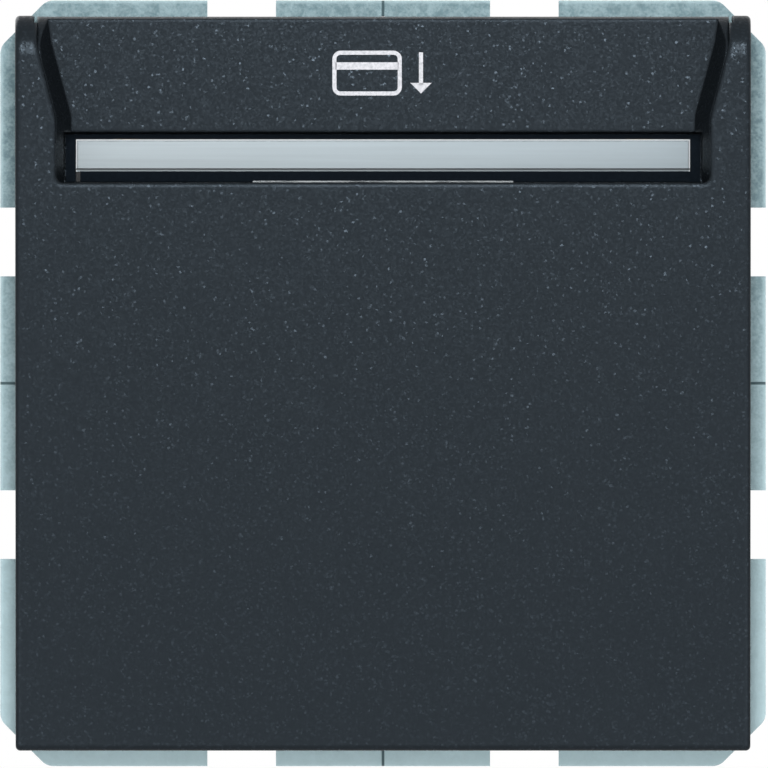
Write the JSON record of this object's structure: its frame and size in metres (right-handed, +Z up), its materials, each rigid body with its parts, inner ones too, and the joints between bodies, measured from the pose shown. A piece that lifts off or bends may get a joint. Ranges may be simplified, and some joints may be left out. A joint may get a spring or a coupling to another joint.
{
  "type": "hotel key card switch",
  "caption": "Flush wall switch worked by a key card: wedge-shaped anthracite centre plate with a card slot and light bar on a castellated steel ring, relay insert behind.",
  "frame": {"origin": "centre of the support ring's back face, on the wall", "axes": "+X to the right seen from the room, +Y into the wall, +Z up"},
  "size_m": [0.0658, 0.0426, 0.0658],
  "materials": {
    "anthracite_lacquer": "matt metallic lacquer",
    "zinc_steel": "zinc plated, matt",
    "clear_light_guide": "clear, silvery",
    "dark_plastic": "matt",
    "spring_steel": "bright",
    "bright_steel": "ground",
    "grey_plastic": "moulded, matt",
    "brass": "plain",
    "tinned_brass": "tinned",
    "white_plastic": "moulded, matt",
    "red_plastic": "moulded, matt",
    "board_laminate": "solder mask",
    "lamp_resin": "clear resin",
    "coil_wrap": "lacquered copper under tape",
    "relay_plastic": "moulded",
    "capacitor_plastic": "moulded",
    "fuse_ceramic": "glazed",
    "varistor_blue": "dipped",
    "can_sleeve": "sleeve",
    "resistor_lacquer": "lacquered"
  },
  "bodies": {
    "insert": {"bridge_rectifier": "dark_plastic", "circuit_board": "board_laminate", "controller_chip": "dark_plastic", "film_capacitor": "capacitor_plastic", "fuse": "fuse_ceramic", "housing_screws": "zinc_steel", "insert_front": "grey_plastic", "insert_housing": "grey_plastic", "led_board": "board_laminate", "led_pins": "tinned_brass", "microswitch_case": "dark_plastic", "microswitch_terminals": "tinned_brass", "orientation_leds": "lamp_resin", "peg_clips": "spring_steel", "plunger_spring": "spring_steel", "relay_base": "dark_plastic", "relay_coil": "coil_wrap", "relay_contacts": "tinned_brass", "relay_cover": "relay_plastic", "relay_yoke": "zinc_steel", "resistors": "resistor_lacquer", "ring_rivets": "brass", "smoothing_capacitor": "can_sleeve", "support_ring": "zinc_steel", "terminal_bars": "brass", "varistor": "varistor_blue"},
    "relay_armature": {"relay_armature": "zinc_steel"},
    "plunger": {"plunger": "white_plastic"},
    "microswitch_button": {"microswitch_button": "red_plastic"},
    "card_lever": {"card_lever": "dark_plastic"},
    "card_spring": {"card_spring": "spring_steel"},
    "centre_plate": {"front_cover": "anthracite_lacquer", "card_holder": "anthracite_lacquer", "light_bar": "clear_light_guide", "light_bar_frame": "dark_plastic", "cover_screws": "zinc_steel", "lever_pin": "bright_steel", "lever_spring": "spring_steel"},
    "terminal_screw_1": {"terminal_screw_1": "zinc_steel"},
    "terminal_cage_1": {"terminal_cage_1": "zinc_steel"},
    "terminal_screw_2": {"terminal_screw_2": "zinc_steel"},
    "terminal_cage_2": {"terminal_cage_2": "zinc_steel"},
    "terminal_screw_3": {"terminal_screw_3": "zinc_steel"},
    "terminal_cage_3": {"terminal_cage_3": "zinc_steel"},
    "terminal_screw_4": {"terminal_screw_4": "zinc_steel"},
    "terminal_cage_4": {"terminal_cage_4": "zinc_steel"},
    "claw_left": {"claw_left": "zinc_steel"},
    "claw_screw_left": {"claw_screw_left": "zinc_steel"},
    "claw_right": {"claw_right": "zinc_steel"},
    "claw_screw_right": {"claw_screw_right": "zinc_steel"}
  },
  "joints": [
    {"name": "plate_pull", "type": "slide", "parent": "insert", "child": "centre_plate", "axis": [0, -1, 0], "range_m": [0, 0.02]},
    {"name": "lever_tip", "type": "hinge", "parent": "centre_plate", "child": "card_lever", "pos_m": [0, -0.0026, 0.008], "axis": [1, 0, 0], "range_deg": [0, 8], "stiffness_Nm_per_rad": 0.006, "springref_deg": -28.65, "deforming": ["lever_spring"]},
    {"name": "plunger_push", "type": "slide", "parent": "insert", "child": "plunger", "axis": [0, 1, 0], "range_m": [0, 0.0011], "deforming": ["plunger_spring"]},
    {"name": "button_push", "type": "slide", "parent": "insert", "child": "microswitch_button", "axis": [0, 1, 0], "range_m": [0, 0.0012]},
    {"name": "card_spring_bend", "type": "hinge", "parent": "centre_plate", "child": "card_spring", "pos_m": [0, -0.01003, 0.0169], "axis": [-1, 0, 0], "range_deg": [0, 3], "stiffness_Nm_per_rad": 0.05, "springref_deg": -5.73},
    {"name": "armature_pull", "type": "hinge", "parent": "insert", "child": "relay_armature", "pos_m": [-0.0109, 0.0078, 0.0046], "axis": [-1, 0, 0], "range_deg": [0, 4], "stiffness_Nm_per_rad": 0.01, "springref_deg": -11.46},
    {"name": "terminal_turn_1", "type": "hinge", "parent": "insert", "child": "terminal_screw_1", "pos_m": [-0.008, 0.0236, 0], "axis": [0, 0, -1], "range_deg": [0, 1440]},
    {"name": "cage_lift_1", "type": "slide", "parent": "insert", "child": "terminal_cage_1", "axis": [0, 0, 1], "range_m": [0, 0.0018]},
    {"name": "terminal_turn_2", "type": "hinge", "parent": "insert", "child": "terminal_screw_2", "pos_m": [0.008, 0.0236, 0], "axis": [0, 0, -1], "range_deg": [0, 1440]},
    {"name": "cage_lift_2", "type": "slide", "parent": "insert", "child": "terminal_cage_2", "axis": [0, 0, 1], "range_m": [0, 0.0018]},
    {"name": "terminal_turn_3", "type": "hinge", "parent": "insert", "child": "terminal_screw_3", "pos_m": [-0.008, 0.0236, 0], "axis": [0, 0, 1], "range_deg": [0, 1440]},
    {"name": "cage_lift_3", "type": "slide", "parent": "insert", "child": "terminal_cage_3", "axis": [0, 0, -1], "range_m": [0, 0.0018]},
    {"name": "terminal_turn_4", "type": "hinge", "parent": "insert", "child": "terminal_screw_4", "pos_m": [0.008, 0.0236, 0], "axis": [0, 0, 1], "range_deg": [0, 1440]},
    {"name": "cage_lift_4", "type": "slide", "parent": "insert", "child": "terminal_cage_4", "axis": [0, 0, -1], "range_m": [0, 0.0018]},
    {"name": "claw_turn_left", "type": "hinge", "parent": "insert", "child": "claw_screw_left", "pos_m": [-0.0236, 0, 0], "axis": [0, 1, 0], "range_deg": [0, 2160]},
    {"name": "claw_spread_left", "type": "hinge", "parent": "insert", "child": "claw_left", "pos_m": [-0.0213, 0.003, 0], "axis": [0, 0, 1], "range_deg": [0, 12]},
    {"name": "claw_turn_right", "type": "hinge", "parent": "insert", "child": "claw_screw_right", "pos_m": [0.0236, 0, 0], "axis": [0, 1, 0], "range_deg": [0, 2160]},
    {"name": "claw_spread_right", "type": "hinge", "parent": "insert", "child": "claw_right", "pos_m": [0.0213, 0.003, 0], "axis": [0, 0, -1], "range_deg": [0, 12]}
  ],
  "couplings": [
    {"joint": "lever_tip", "follows": "plunger_push", "rad_per_m": 125},
    {"joint": "button_push", "follows": "plunger_push", "ratio": 1},
    {"joint": "terminal_turn_1", "follows": "cage_lift_1", "rad_per_m": 13960},
    {"joint": "terminal_turn_2", "follows": "cage_lift_2", "rad_per_m": 13960},
    {"joint": "terminal_turn_3", "follows": "cage_lift_3", "rad_per_m": 13960},
    {"joint": "terminal_turn_4", "follows": "cage_lift_4", "rad_per_m": 13960},
    {"joint": "claw_turn_left", "follows": "claw_spread_left", "ratio": 179.9},
    {"joint": "claw_turn_right", "follows": "claw_spread_right", "ratio": 179.9}
  ]
}
